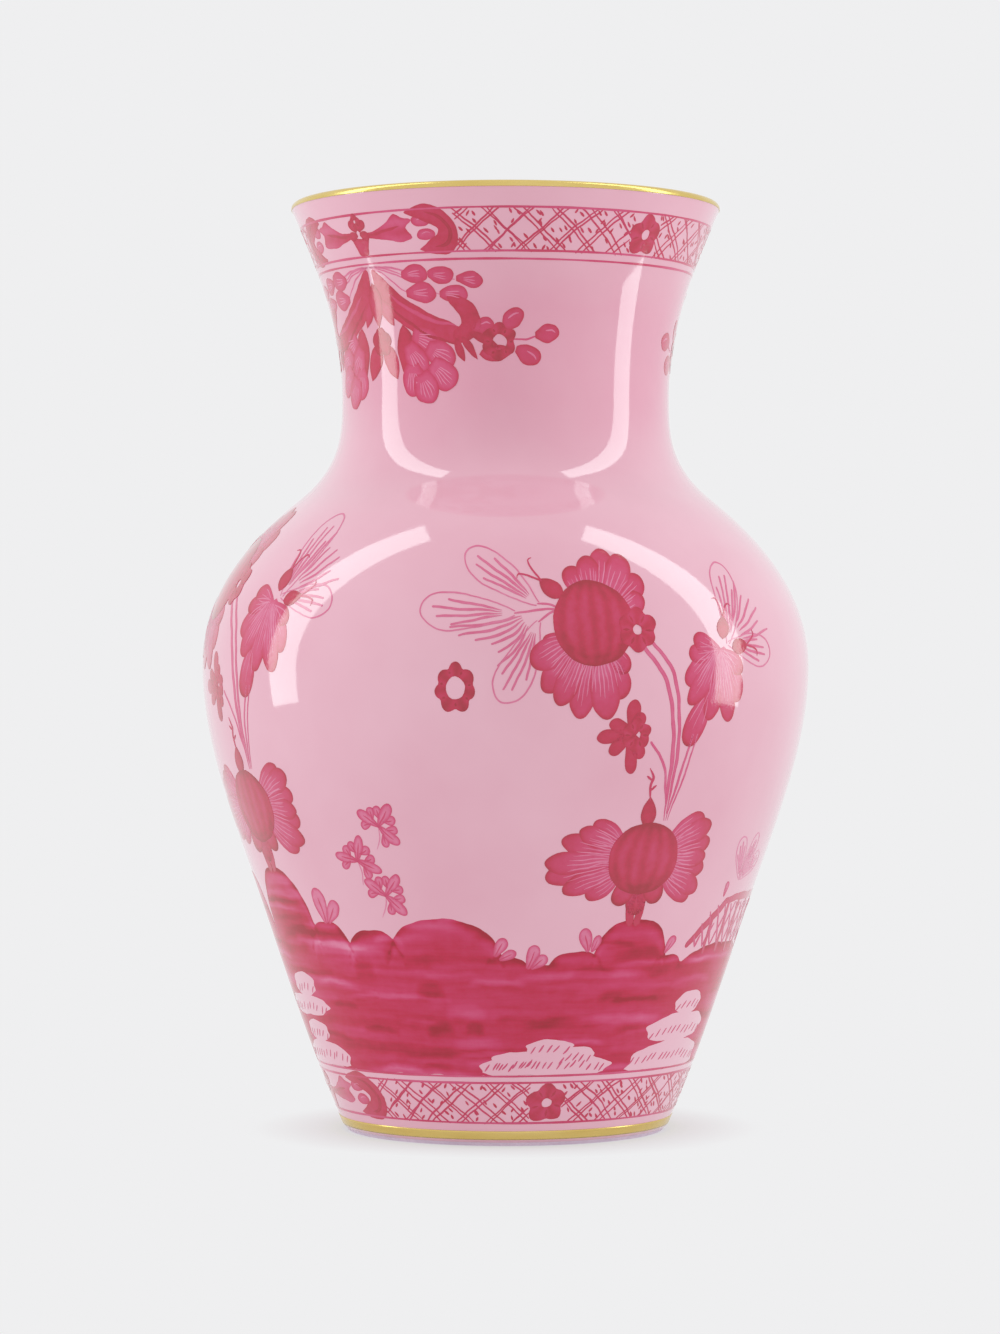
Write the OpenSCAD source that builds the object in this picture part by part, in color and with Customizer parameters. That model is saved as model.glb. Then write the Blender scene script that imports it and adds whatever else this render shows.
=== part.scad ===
// Baluster vase in glazed porcelain: a waisted neck, a flared mouth and a turned foot ring.
// The fired body carries three coats of glaze, two gilded bands and six painted border lines.
// Millimetres, +Z up, the origin at the centre of the plane that the foot ring stands on.

/* [Form] */
// Height from the foot to the top of the lip
height = 300; // [240:1:360]
// Outer radius where the foot meets the table
foot_r = 52; // [46:0.5:56]
// Outer radius at a quarter of the height
lower_r = 79.5; // [74:0.5:84]
// Largest outer radius, half way up
belly_r = 98.5; // [92:0.5:104]
// Outer radius on the steepest part of the shoulder
shoulder_r = 67; // [62:0.5:72]
// Smallest outer radius, at the waist of the neck
neck_r = 53.2; // [48:0.1:57]
// Outer radius of the mouth
mouth_r = 70.4; // [66:0.1:76]

/* [Walls] */
// Wall thickness just above the foot, glaze included
foot_wall = 5; // [4:0.1:6]
// Wall thickness at the lip, glaze included
lip_wall = 3; // [2.4:0.1:4]
// Thickness of the floor above the foot recess, glaze included
floor_t = 6; // [5:0.5:8]
// Thickness of every coat of glaze
glaze_t = 0.3; // [0.2:0.05:0.4]

/* [Foot] */
// Depth of the recess inside the foot ring
recess_h = 5; // [4.5:0.5:7]
// Width of the foot ring at its unglazed edge
ring_w = 6.5; // [5:0.5:8]
// Height of the unglazed edge that stands on the table
bare_h = 1.2; // [0.8:0.1:1.4]

/* [Gilding] */
// Thickness of the fired gold and of the painted lines
film_t = 0.15; // [0.1:0.01:0.2]
// Height of the lower edge of the gold band on the foot
foot_gold_z = 2.1; // [1.8:0.1:2.4]
// Width of the gold band on the foot
foot_gold_w = 2.8; // [1:0.1:3]
// How far the gold on the lip comes down the outside and the inside
lip_gold_w = 0.5; // [0.2:0.1:2.5]

/* [Painted lines] */
// Width of a painted line
line_w = 0.7; // [0.4:0.1:1]
// Width of the field between a border's two inner lines
field_w = 13; // [10:0.5:16]
// Distance between a border's paired lines
pair_gap = 2.2; // [1.6:0.1:3]
// Distance from the lip to the first line of the neck border
neck_line_drop = 8.1; // [6:0.1:12]
// Height of the first line of the foot border
foot_line_z = 7.6; // [6:0.1:10]

/* [Hidden] */
steps = 72;        // rings of points up the outside
lip_steps = 12;    // points round one half of the lip
bowl_steps = 14;   // points round the curve between wall and floor
bowl_h = 16;       // how far up the wall that curve starts
bowl_reach = 22;   // how far across the floor that curve ends
edge = 0.7;        // chamfer on the foot ring's edges
draft = 1;         // how much wider the foot ring is at its root
lip_r = lip_wall / 2;

// The outline runs through these stations: height, outer radius, and how fast the radius grows with height.
STATIONS = [
    [0, foot_r, 0.45],
    [0.25 * height, lower_r, 0.34],
    [0.5 * height, belly_r, 0],
    [0.68 * height, shoulder_r, -1.25],
    [0.793 * height, neck_r, 0],
    [height, mouth_r, 0.46]
];

// The span between stations that holds height z.
function span_at(z, i = 0) = (i >= len(STATIONS) - 2 || z <= STATIONS[i + 1][0]) ? i : span_at(z, i + 1);

// A cubic between two stations a and b, at share t of the way from a to b.
function cubic(a, b, t) = let (h = b[0] - a[0])
    (2 * t ^ 3 - 3 * t ^ 2 + 1) * a[1] + (t ^ 3 - 2 * t ^ 2 + t) * h * a[2]
    + (3 * t ^ 2 - 2 * t ^ 3) * b[1] + (t ^ 3 - t ^ 2) * h * b[2];

function outer_r(z) = let (i = span_at(z), a = STATIONS[i], b = STATIONS[i + 1])
    cubic(a, b, (z - a[0]) / (b[0] - a[0]));

function slope(z) = (outer_r(z + 0.01) - outer_r(z - 0.01)) / 0.02;

// The point at depth d inside the outer surface, measured square to it at height z.
function skin(z, d) = let (g = slope(z), n = sqrt(1 + g ^ 2))
    [outer_r(z) - d / n, z + d * g / n];

function wall(z) = foot_wall + (lip_wall - foot_wall) * z / height;

// The lip is a half circle that joins the two walls at the height lip_z.
lip_lean = atan(slope(height - 1));
lip_z = height - lip_r * (1 + sin(lip_lean));
lip_centre = skin(lip_z, lip_r);

// A point on the lip: turn 0 is the outer wall, 90 the crown and 180 the inner wall; r is its radius there.
function lip_point(turn, r) = lip_centre + r * [cos(turn - lip_lean), sin(turn - lip_lean)];
function lip_arc(from, to, r) = [for (i = [0:lip_steps]) lip_point(from + (to - from) * i / lip_steps, r)];
crown = 90 + lip_lean;

// The outer skin at depth d, from height low up to the lip.
function outside(low, d) = [for (i = [0:steps]) skin(low + (lip_z - low) * i / steps, d)];

// The inner wall, from the lip down to the bowl: coat 0 is the glazed face, and coat glaze_t the body's own.
bowl_z = recess_h + floor_t + bowl_h;
function inside(coat) = [for (i = [0:steps])
    let (z = lip_z + (bowl_z - lip_z) * i / steps) skin(z, wall(z) - coat)];

// The bowl: one cubic curve from the inner wall round to the flat floor.
function bowl(coat) =
    let (z0 = recess_h + floor_t - coat, a = skin(bowl_z, wall(bowl_z) - coat), pull = bowl_reach / 2,
         a1 = a - pull * [slope(bowl_z), 1], b = [a[0] - bowl_reach, z0], b1 = b + [pull, 0])
    [for (i = [1:bowl_steps]) let (t = i / bowl_steps)
        (1 - t) ^ 3 * a + 3 * (1 - t) ^ 2 * t * a1 + 3 * (1 - t) * t ^ 2 * b1 + t ^ 3 * b];

// The recess inside the foot ring, with a rounded inner corner, at depth d inside its glazed face.
recess_r = foot_r - ring_w - draft;
function recess(d) = [[0, recess_h + d], [recess_r - 4, recess_h + d], [recess_r - 1.5 + d / 2, recess_h - 1 + d],
                      [recess_r + d, recess_h - 3], [recess_r + d, bare_h]];

function reversed(list) = [for (i = [len(list) - 1:-1:0]) list[i]];

module porcelain_body() {
    color("white")
    rotate_extrude($fn = 160)
    polygon(concat(
        [[foot_r - edge, 0]],
        outside(bare_h, glaze_t),
        lip_arc(0, 180, lip_r - glaze_t),
        inside(glaze_t),
        bowl(glaze_t),
        [[0, recess_h + floor_t - glaze_t]],
        recess(glaze_t),
        [[recess_r + glaze_t + edge, 0]]
    ));
}

// The pink coat: up the outside and over the lip to its crown.
module outer_glaze() {
    color("lightpink")
    rotate_extrude($fn = 160)
    polygon(concat(
        outside(bare_h, 0), lip_arc(0, crown, lip_r),
        lip_arc(crown, 0, lip_r - glaze_t), reversed(outside(bare_h, glaze_t))
    ));
}

// The lining: from the lip's crown down the inside and across the floor.
module inner_glaze() {
    color("mistyrose")
    rotate_extrude($fn = 160)
    polygon(concat(
        lip_arc(crown, 180, lip_r), inside(0), bowl(0), [[0, recess_h + floor_t]],
        [[0, recess_h + floor_t - glaze_t]], reversed(bowl(glaze_t)), reversed(inside(glaze_t)),
        lip_arc(180, crown, lip_r - glaze_t)
    ));
}

// The coat on the underside, inside the foot ring.
module recess_glaze() {
    color("mistyrose")
    rotate_extrude($fn = 160)
    polygon(concat(recess(0), reversed(recess(glaze_t))));
}

// A film on the outer skin between two heights.
module outer_band(low, high) {
    rows = 4;
    function at(d) = [for (i = [0:rows]) skin(low + (high - low) * i / rows, d)];
    rotate_extrude($fn = 160)
    polygon(concat(at(0), reversed(at(-film_t))));
}

// Gold over the whole lip, and a little way down each wall.
module lip_gilding() {
    low = lip_z - lip_gold_w;
    face = concat([skin(low, 0)], lip_arc(0, 180, lip_r), [skin(low, wall(low))]);
    back = concat([skin(low, -film_t)], lip_arc(0, 180, lip_r + film_t), [skin(low, wall(low) + film_t)]);
    color("gold")
    rotate_extrude($fn = 160)
    polygon(concat(face, reversed(back)));
}

module foot_gilding() {
    color("gold")
    outer_band(foot_gold_z, foot_gold_z + foot_gold_w);
}

// Three rings: one line above the border's field and a pair below it, or the other way up at the foot.
module border_lines(levels) {
    color("crimson")
    for (z = levels)
        outer_band(z - line_w / 2, z + line_w / 2);
}

module neck_border_lines() {
    top = height - neck_line_drop;
    border_lines([top, top - field_w, top - field_w - pair_gap]);
}

module foot_border_lines() {
    border_lines([foot_line_z, foot_line_z + field_w, foot_line_z + field_w + pair_gap]);
}

porcelain_body();
outer_glaze();
inner_glaze();
recess_glaze();
lip_gilding();
foot_gilding();
neck_border_lines();
foot_border_lines();
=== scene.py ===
"""A pink baluster vase in porcelain, painted with crimson enamel flowers above a garden, and gilded."""
import random
from math import atan, atan2, cos, hypot, pi, radians, sin, tau

import bpy
import numpy as np
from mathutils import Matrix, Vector
from mathutils.geometry import delaunay_2d_cdt


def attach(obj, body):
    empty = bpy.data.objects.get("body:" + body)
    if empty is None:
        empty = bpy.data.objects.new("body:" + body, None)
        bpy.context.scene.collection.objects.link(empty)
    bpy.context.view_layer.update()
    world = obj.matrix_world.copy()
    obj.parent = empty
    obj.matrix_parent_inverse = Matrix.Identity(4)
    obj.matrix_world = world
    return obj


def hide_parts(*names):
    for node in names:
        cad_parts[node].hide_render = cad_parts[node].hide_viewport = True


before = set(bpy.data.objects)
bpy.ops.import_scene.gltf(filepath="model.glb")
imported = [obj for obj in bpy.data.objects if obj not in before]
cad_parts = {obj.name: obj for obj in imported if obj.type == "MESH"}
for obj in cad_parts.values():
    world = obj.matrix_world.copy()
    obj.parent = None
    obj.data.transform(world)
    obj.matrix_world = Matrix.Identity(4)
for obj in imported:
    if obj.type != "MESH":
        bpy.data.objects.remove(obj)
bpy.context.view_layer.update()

MM = 0.001
ROUND = 360          # steps round the vase in every turned piece
# Each part of the painting is there twice, this many degrees apart.
NECK_AGAIN = 176
GARDEN_AGAIN = 198
FOOT_AGAIN = 200

# ---- form

# Height, outer radius and rise of the radius, in mm, as part.scad has them.
STATIONS = np.array([
    (0, 52, 0.45), (75, 79.5, 0.34), (150, 98.5, 0), (204, 67, -1.25), (237.9, 53.2, 0), (300, 70.4, 0.46),
])
GLAZE = 0.3
FILM = 0.15
FOOT_WALL, LIP_WALL = 5, 3
FLOOR_TOP, BOWL_TOP, BOWL_REACH = 11, 27, 22
HEIGHT = STATIONS[-1, 0]


def outer_r(z):
    """The outer radius at height z, in mm: a cubic between each two stations."""
    z = np.asarray(z, float)
    i = np.clip(np.searchsorted(STATIONS[:, 0], z) - 1, 0, len(STATIONS) - 2)
    z0, r0, s0 = STATIONS[i].T
    z1, r1, s1 = STATIONS[i + 1].T
    h = z1 - z0
    t = (z - z0) / h
    return ((2 * t**3 - 3 * t**2 + 1) * r0 + (t**3 - 2 * t**2 + t) * h * s0
            + (3 * t**2 - 2 * t**3) * r1 + (t**3 - t**2) * h * s1)


def slope(z):
    return (outer_r(z + 0.01) - outer_r(z - 0.01)) / 0.02


def pairs(x, y):
    """Points from their two coordinates."""
    return np.stack([x, y], -1)


def skin(z, depth):
    """(radius, height) at a depth below the outer surface, square to it at height z."""
    g = slope(z)
    n = np.sqrt(1 + g**2)
    return pairs(outer_r(z) - depth / n, z + depth * g / n)


def wall(z):
    return FOOT_WALL + (LIP_WALL - FOOT_WALL) * z / HEIGHT


LIP_R = LIP_WALL / 2
LIP_LEAN = atan(slope(HEIGHT - 1))
LIP_Z = HEIGHT - LIP_R * (1 + sin(LIP_LEAN))
LIP_CENTRE = skin(LIP_Z, LIP_R)
CROWN = pi / 2 + LIP_LEAN


def lip_arc(start, end, radius):
    """Points round the lip: 0 is the outer wall, CROWN its highest point and pi the inner wall."""
    a = np.linspace(start, end, 16) - LIP_LEAN
    return LIP_CENTRE + radius * pairs(np.cos(a), np.sin(a))


def outside(low, high, depth, count):
    return skin(np.linspace(low, high, count), depth)


def scene_object(name, data):
    item = bpy.data.objects.new(name, data)
    bpy.context.scene.collection.objects.link(item)
    return item


def mesh_object(name, points, faces, material):
    """A smooth piece of the vase."""
    mesh = bpy.data.meshes.new(name)
    mesh.from_pydata(points, [], faces)
    mesh.materials.append(material)
    mesh.polygons.foreach_set("use_smooth", [True] * len(mesh.polygons))
    piece = scene_object(name, mesh)
    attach(piece, "root")
    return piece


def turned(name, outline, material, stands_for):
    """A closed solid of revolution from a closed outline of (radius, height) points, in mm."""
    outline = np.asarray(outline)
    rows = len(outline)
    a = np.linspace(0, tau, ROUND, endpoint=False)
    r, z = outline.T
    points = np.stack([np.outer(np.sin(a), r), np.outer(-np.cos(a), r), np.tile(z, (ROUND, 1))], -1)
    points = points.reshape(-1, 3) * MM
    i, j = np.divmod(np.arange(ROUND * rows), rows)
    k, m = (i + 1) % ROUND * rows, (j + 1) % rows
    faces = np.stack([i * rows + j, k + j, k + m, i * rows + m], -1)
    piece = mesh_object(name, points.tolist(), faces.tolist(), material)
    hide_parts(stands_for)


# ---- materials

def srgb(red, green, blue):
    """A colour given as it looks on a screen, 0 to 255, as the shader's linear values."""
    out = []
    for c in (red, green, blue):
        c /= 255
        out.append(c / 12.92 if c <= 0.04045 else ((c + 0.055) / 1.055) ** 2.4)
    return (*out, 1)


class Shader:
    """A material with one Principled shader, and short calls that add nodes to it."""

    def __init__(self, name):
        self.material = bpy.data.materials.new(name)
        self.material.use_nodes = True
        self.tree = self.material.node_tree
        self.base = next(n for n in self.tree.nodes if n.type == "BSDF_PRINCIPLED")
        self.place = self.node("ShaderNodeTexCoord").outputs["Object"]

    def node(self, kind, **settings):
        node = self.tree.nodes.new(kind)
        for key, value in settings.items():
            setattr(node, key, value)
        return node

    def link(self, source, target):
        self.tree.links.new(source, target)

    def surface(self, colour, roughness):
        self.link(colour, self.base.inputs["Base Color"])
        self.link(roughness, self.base.inputs["Roughness"])

    def set(self, **values):
        for key, value in values.items():
            self.base.inputs[key.replace("_", " ")].default_value = value

    def stretched(self, scale):
        mapping = self.node("ShaderNodeMapping")
        mapping.inputs["Scale"].default_value = scale
        self.link(self.place, mapping.inputs["Vector"])
        return mapping.outputs["Vector"]

    def noise(self, scale, detail=3, roughness=0.5, vector=None):
        noise = self.node("ShaderNodeTexNoise")
        noise.inputs["Scale"].default_value = scale
        noise.inputs["Detail"].default_value = detail
        noise.inputs["Roughness"].default_value = roughness
        self.link(vector or self.place, noise.inputs["Vector"])
        return noise.outputs["Fac"]

    def maths(self, operation, first, second):
        node = self.node("ShaderNodeMath", operation=operation)
        for socket, value in zip(node.inputs, (first, second)):
            if isinstance(value, (int, float)):
                socket.default_value = value
            else:
                self.link(value, socket)
        return node.outputs[0]

    def ramp(self, source, stops):
        ramp = self.node("ShaderNodeValToRGB")
        points = ramp.color_ramp.elements
        while len(points) < len(stops):
            points.new(0.5)
        for point, (at, colour) in zip(points, stops):
            point.position = at
            point.color = colour if isinstance(colour, tuple) else (colour, colour, colour, 1)
        self.link(source, ramp.inputs["Fac"])
        return ramp.outputs["Color"]

    def bump(self, height, distance, strength=1):
        bump = self.node("ShaderNodeBump")
        bump.inputs["Distance"].default_value = distance
        bump.inputs["Strength"].default_value = strength
        self.link(height, bump.inputs["Height"])
        self.link(bump.outputs["Normal"], self.base.inputs["Normal"])


STUDIO = srgb(239, 239, 240)
FLOOR_TONE = srgb(226, 226, 227)
FADE = 1.1           # metres from the vase to where the floor has faded
PINK = srgb(231, 174, 191)
PINK_DEEP = srgb(227, 166, 184)
# The deepest pink, reached mostly where shade is painted round the neck.
PINK_SHADED = srgb(224, 152, 174)
PINK_PALE = srgb(235, 182, 198)


def glaze_material():
    """Clear pink glaze: cloudy depth, a deeper pink painted round the neck as shade, faint throwing rings
    and a few pinholes.
    """
    s = Shader("pink_glaze")
    height = s.node("ShaderNodeSeparateXYZ")
    s.link(s.place, height.inputs["Vector"])
    # Painted shade: the pink turns deeper round the neck, 200 to 285 mm up, to stand in for the weaker
    # reflection the neck gets.
    neck_shade = s.ramp(height.outputs["Z"], [(0.2, 0), (0.236, 0.4), (0.262, 0.4), (0.285, 0)])
    depth = s.maths("SUBTRACT", s.noise(14, 4, 0.55), neck_shade)
    tint = s.ramp(depth, [(0, PINK_SHADED), (0.3, PINK_DEEP), (0.52, PINK), (0.75, PINK_PALE)])
    s.surface(tint, s.ramp(s.noise(420, 2), [(0.35, 0.045), (0.75, 0.1)]))
    rings = s.noise(1, 2, vector=s.stretched((2, 2, 160)))
    waves = s.noise(70, 2)
    s.bump(s.maths("ADD", s.maths("MULTIPLY", rings, 0.5), waves), 0.00006)
    s.set(IOR=1.54, Coat_Weight=0.6, Coat_Roughness=0.03)
    return s.material


def enamel_material(name, streaks, grain, drag, gloss):
    """Crimson enamel: each mesh point's "tone" says how thick the brush laid it, from a wash to full."""
    s = Shader(name)
    tone = s.node("ShaderNodeAttribute", attribute_name="tone").outputs["Fac"]
    brush = s.noise(1, 4, 0.6, vector=s.stretched(streaks))
    speckle = s.noise(grain, 3, 0.6)
    drift = s.maths("MULTIPLY", s.maths("SUBTRACT", brush, 0.5), drag)
    fine = s.maths("MULTIPLY", s.maths("SUBTRACT", speckle, 0.5), 0.16)
    laid = s.maths("ADD", tone, s.maths("ADD", drift, fine))
    colour = s.ramp(laid, [
        (0, srgb(228, 166, 186)), (0.25, srgb(222, 126, 160)), (0.5, srgb(210, 76, 122)),
        (0.68, srgb(202, 46, 96)), (0.84, srgb(192, 18, 66)), (1, srgb(164, 2, 38)),
    ])
    s.surface(colour, s.ramp(speckle, [(0.3, 0.06), (0.8, 0.12)]))
    s.bump(s.maths("ADD", brush, speckle), 0.00004)
    s.set(IOR=1.52, Coat_Weight=gloss, Coat_Roughness=0.03)
    return s.material


def gold_material():
    """Fired gold, brushed on round the vase: fine streaks and a few thin places."""
    s = Shader("fired_gold")
    streaks = s.noise(1, 3, 0.6, vector=s.stretched((30, 30, 340)))
    tint = s.ramp(streaks, [
        (0.3, srgb(218, 188, 104)), (0.55, srgb(226, 198, 118)), (0.8, srgb(234, 208, 134)),
    ])
    s.surface(tint, s.ramp(s.noise(260, 3), [(0.3, 0.16), (0.75, 0.24)]))
    s.bump(streaks, 0.00003, 0.25)
    s.set(Metallic=0.82)
    return s.material


def lining_material():
    s = Shader("lining_glaze")
    tint = s.ramp(s.noise(18, 4), [(0.3, srgb(232, 205, 213)), (0.7, srgb(240, 219, 225))])
    s.surface(tint, s.ramp(s.noise(300, 2), [(0.3, 0.07), (0.8, 0.14)]))
    s.bump(s.noise(60, 2), 0.00008)
    s.set(IOR=1.5)
    return s.material


def bisque_with_painted_sheen_material():
    """Unglazed porcelain, with the fine sandy tooth of a wiped foot, coloured a pale lilac that paints the
    sheen of a glazed strip reflecting the floor.
    """
    s = Shader("bisque")
    grain = s.noise(900, 4, 0.65)
    cloudy = s.maths("MULTIPLY", s.noise(40, 3), grain)
    # Painted reflection: the pale lilac stands in for the floor's reflection in a glazed strip.
    tint = s.ramp(cloudy, [(0.1, srgb(208, 186, 205)), (0.4, srgb(228, 208, 224))])
    s.surface(tint, s.ramp(grain, [(0.3, 0.6), (0.8, 0.85)]))
    s.bump(grain, 0.00006)
    return s.material


def floor_material():
    """Matt pale paper near the vase, which fades to the brightness of the studio around it."""
    s = Shader("studio_floor")
    s.set(Base_Color=FLOOR_TONE, Roughness=0.9, Specular_IOR_Level=0)
    far = s.node("ShaderNodeEmission")
    far.inputs["Color"].default_value = STUDIO
    ball = s.node("ShaderNodeTexGradient", gradient_type="SPHERICAL")
    s.link(s.stretched((1 / FADE, 1 / FADE, 1 / FADE)), ball.inputs["Vector"])
    near = s.ramp(ball.outputs["Fac"], [(0.925, 0), (0.956, 0.6)])
    mix = s.node("ShaderNodeMixShader")
    s.link(near, mix.inputs[0])
    s.link(far.outputs[0], mix.inputs[1])
    s.link(s.base.outputs[0], mix.inputs[2])
    out = next(n for n in s.tree.nodes if n.type == "OUTPUT_MATERIAL")
    s.link(mix.outputs[0], out.inputs["Surface"])
    return s.material


# ---- painter's tools

LAYER = 0.014        # each level of paint stands this much higher, in mm
FIRST_LAYER = 0.03
ROOTED = 0.03        # a film's underside lies this far inside the glaze


def waver(theta, z):
    """A point on the vase, moved by the small unsteadiness of a painter's hand."""
    a = np.radians(theta)
    across = (0.2 * np.sin(23 * a + 0.21 * z) + 0.1 * np.sin(61 * a - 0.6 * z + 1)
              + 0.035 * np.sin(150 * a + 1.4 * z + 2))
    up = (0.18 * np.sin(27 * a - 0.19 * z + 3) + 0.1 * np.sin(57 * a + 0.64 * z)
          + 0.035 * np.sin(141 * a - 1.5 * z + 1))
    return theta + np.degrees(across / outer_r(z)), z + up


def apart(theta, centre):
    """The angle from centre to theta the short way round, in degrees."""
    return (theta - centre + 180) % 360 - 180


def ray(turn, reach):
    """The drawing point at a distance from the origin, clockwise from straight up."""
    a = radians(turn)
    return reach * sin(a), reach * cos(a)


def smooth(points, step=0.7):
    """A rounded path through the points, with one point about every step mm."""
    p = np.asarray(points, float)
    p = np.vstack([2 * p[0] - p[1], p, 2 * p[-1] - p[-2]])
    out = []
    for a, b, c, d in zip(p, p[1:], p[2:], p[3:]):
        count = max(2, int(np.hypot(*(c - b)) / step))
        t = np.linspace(0, 1, count, endpoint=False)[:, None]
        out.append(0.5 * (2 * b + (c - a) * t + (2 * a - 5 * b + 4 * c - d) * t**2
                          + (3 * b - a - 3 * c + d) * t**3))
    return np.vstack([*out, p[-2:-1]])


def rounded(points, step=0.7):
    """A closed outline, rounded through its points."""
    return smooth(points + points[:1], step)[:-1]


def within(points, loop):
    """Which points lie inside a closed outline."""
    x0, y0 = loop.T
    x1, y1 = np.roll(loop, -1, axis=0).T
    rise = np.where(y1 == y0, 1e-9, y1 - y0)
    found = []
    for part in np.array_split(points, len(points) // 2000 + 1):
        x, y = part[:, :1], part[:, 1:]
        crosses = ((y0 > y) != (y1 > y)) & (x < x0 + (y - y0) * (x1 - x0) / rise)
        found.append(crosses.sum(1) % 2 == 1)
    return np.concatenate(found)


def covered(points, outline, *holes):
    """Which points lie inside an outline and outside its holes."""
    found = within(points, outline)
    for hole in holes:
        found &= ~within(points, hole)
    return found


def edge_distance(points, loops):
    """How far each point is from the nearest outline."""
    a = np.vstack(loops)
    b = np.vstack([np.roll(loop, -1, axis=0) for loop in loops])
    d = b - a
    size = np.maximum((d**2).sum(1), 1e-12)
    far = []
    for part in np.array_split(points, len(points) // 1500 + 1):
        rel = part[:, None, :] - a
        t = np.clip((rel * d).sum(2) / size, 0, 1)
        far.append(np.sqrt(((rel - t[..., None] * d) ** 2).sum(2)).min(1))
    return np.concatenate(far)


def facing_out(theta, z, triangles):
    """The triangles that have an area, each in the order that faces away from the vase."""
    i, j, k = triangles.T
    area = (theta[j] - theta[i]) * (z[k] - z[i]) - (theta[k] - theta[i]) * (z[j] - z[i])
    return np.where((area < 0)[:, None], triangles[:, ::-1], triangles)[np.abs(area) > 1e-7]


class Spot:
    """Where to draw in a piece of painting: angle, height, level, clockwise turn, size, flipped or not."""

    def __init__(self, paint, theta, z, level=0, turn=0, size=1, flip=False):
        self.paint, self.level = paint, level
        self.theta, self.z = theta, z
        self.turn, self.size, self.flip = turn, size, flip

    def lay(self, points):
        """Drawing points (right, up) in mm, as (angle in degrees, height in mm) on the vase."""
        x, y = (np.asarray(points, float) * self.size).T
        if self.flip:
            x = -x
        a = radians(self.turn)
        z = self.z - x * sin(a) + y * cos(a)
        return self.theta + np.degrees((x * cos(a) + y * sin(a)) / outer_r(z)), z

    def back(self, theta, z):
        """The drawing point that lies at an angle and height on the vase."""
        u, v = np.radians(theta - self.theta) * outer_r(z), z - self.z
        a = radians(self.turn)
        x, y = u * cos(a) - v * sin(a), u * sin(a) + v * cos(a)
        return (-x if self.flip else x) / self.size, y / self.size

    def at(self, x, y, turn=0, size=1, flip=False):
        """A spot x to the right and y up from this one, drawn the same way up."""
        theta, z = self.lay([(x, y)])
        turn = self.turn + (-turn if self.flip else turn)
        return Spot(self.paint, theta[0], z[0], self.level, turn, self.size * size, self.flip != flip)

    def patch(self, outline, lift, tone, rim=0.15, rim_width=0.7, grid=0.9, holes=(), shade=None):
        """Fills an outline, lift levels up. The tone grows by rim at its edge, where thin paint pools."""
        theta, z = self.lay(outline)
        middle = theta.mean()
        per_degree = radians(1) * float(outer_r(z.mean()))

        def flat(points):
            angle, height = self.lay(points)
            return pairs((angle - middle) * per_degree, height)

        loops = [flat(loop) for loop in (outline, *holes)]
        low, high = loops[0].min(0), loops[0].max(0)
        gx, gy = np.meshgrid(np.arange(low[0], high[0], grid), np.arange(low[1], high[1], grid * 0.866))
        gx[1::2] += grid / 2
        inner = pairs(gx.ravel(), gy.ravel())
        inner = inner[covered(inner, *loops)]
        inner = inner[edge_distance(inner, loops) > grid * 0.45]
        edges = []
        start = 0
        for loop in loops:
            edges += [(start + i, start + (i + 1) % len(loop)) for i in range(len(loop))]
            start += len(loop)
        sites = np.vstack([*loops, inner])
        done = delaunay_2d_cdt([Vector(p) for p in sites.tolist()], edges, [], 0, 1e-6)
        sites = np.array([tuple(v) for v in done[0]])
        triangles = np.array([f for f in done[2] if len(f) == 3])
        triangles = triangles[covered(sites[triangles].mean(1), *loops)]
        used, triangles = np.unique(triangles, return_inverse=True)
        sites = sites[used]
        theta, z = sites[:, 0] / per_degree + middle, sites[:, 1]
        tones = tone + rim * np.exp(-((edge_distance(sites, loops) / rim_width) ** 2))
        if shade:
            tones = tones + shade(*self.back(theta, z))
        self.paint.film(theta, z, tones, triangles.reshape(-1, 3), self.level + lift)

    def stroke(self, path, width, lift, tone, ends=(0.3, 0.3), step=0.7):
        """One pull of the brush: full width in the middle, and a share of it at each end."""
        path = smooth(path, step / self.size)
        reach = np.concatenate([[0], np.cumsum(np.hypot(*np.diff(path, axis=0).T))])
        t = reach / reach[-1]
        swell = [end + (1 - end) * np.sin(np.minimum(s / 0.35, 1) * pi / 2)
                 for s, end in ((t, ends[0]), (1 - t, ends[1]))]
        half = (width / 2 * swell[0] * swell[1])[:, None]
        along = np.gradient(path, axis=0)
        along /= np.maximum(np.hypot(*along.T)[:, None], 1e-9)
        side = pairs(-along[:, 1], along[:, 0])
        caps = (path[0] - along[0] * half[0] * 0.8, path[-1] + along[-1] * half[-1] * 0.8)
        path = np.vstack([caps[0], path, caps[1]])
        side = np.vstack([side[0], side, side[-1]])
        half = np.vstack([half[0] * 0.35, half, half[-1] * 0.35])
        columns = 5 if width > 2.4 else 3 if width > 1.1 else 2
        shares = np.linspace(1, -1, columns)
        rows = len(path)
        cell = np.arange(rows * columns).reshape(rows, columns)
        a, b = cell[:-1, :-1].ravel(), cell[:-1, 1:].ravel()
        c, d = cell[1:, 1:].ravel(), cell[1:, :-1].ravel()
        triangles = np.vstack([np.stack([a, b, c], -1), np.stack([a, c, d], -1)])
        theta, z = self.lay(np.stack([path + side * half * share for share in shares], 1).reshape(-1, 2))
        pool = np.tile(np.abs(shares) ** 3, rows) * 0.05 if columns > 2 else 0
        self.paint.film(theta, z, np.full(len(z), float(tone)) + pool, triangles, self.level + lift)


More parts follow.
